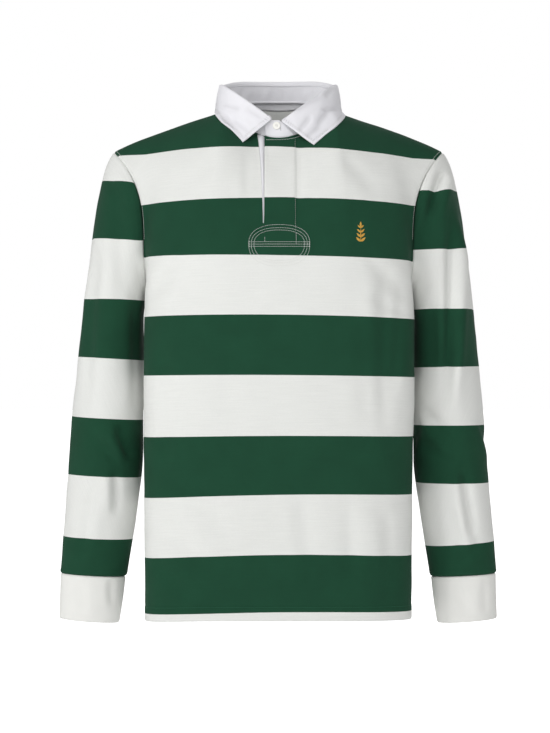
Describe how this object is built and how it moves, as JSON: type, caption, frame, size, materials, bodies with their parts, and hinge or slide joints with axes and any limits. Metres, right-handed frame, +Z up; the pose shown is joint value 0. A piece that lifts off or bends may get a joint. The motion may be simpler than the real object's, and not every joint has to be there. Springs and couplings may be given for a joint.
{
  "type": "long-sleeved rugby shirt",
  "caption": "Long-sleeved rugby shirt with a turned-down twill collar, concealed-button placket, broad stripes and plain cuffs, hollow and open at neck, hem and wrists.",
  "frame": {"origin": "inside the neck, level with the seam at the side of the neck, where the wearer's shoulders hold the shirt up", "axes": "+Z up, the shirt's front faces -Y, +X towards the wearer's left"},
  "size_m": [0.6288, 0.2629, 0.7863],
  "materials": {
    "jersey": "heavy cotton jersey, dark green and off-white stripes of equal width",
    "cuff_cotton": "plain off-white knitted cotton",
    "twill": "white cotton twill",
    "button_resin": "pearl-white resin"
  },
  "bodies": {
    "root": {"front": "jersey", "back": "jersey", "sleeve_right": "jersey", "sleeve_left": "jersey", "cuff_right": "cuff_cotton", "cuff_left": "cuff_cotton", "placket": "jersey", "placket_facing": "twill", "neck_tape": "twill", "collar_stand": "twill", "collar_leaf": "twill", "button": "button_resin"}
  },
  "joints": []
}
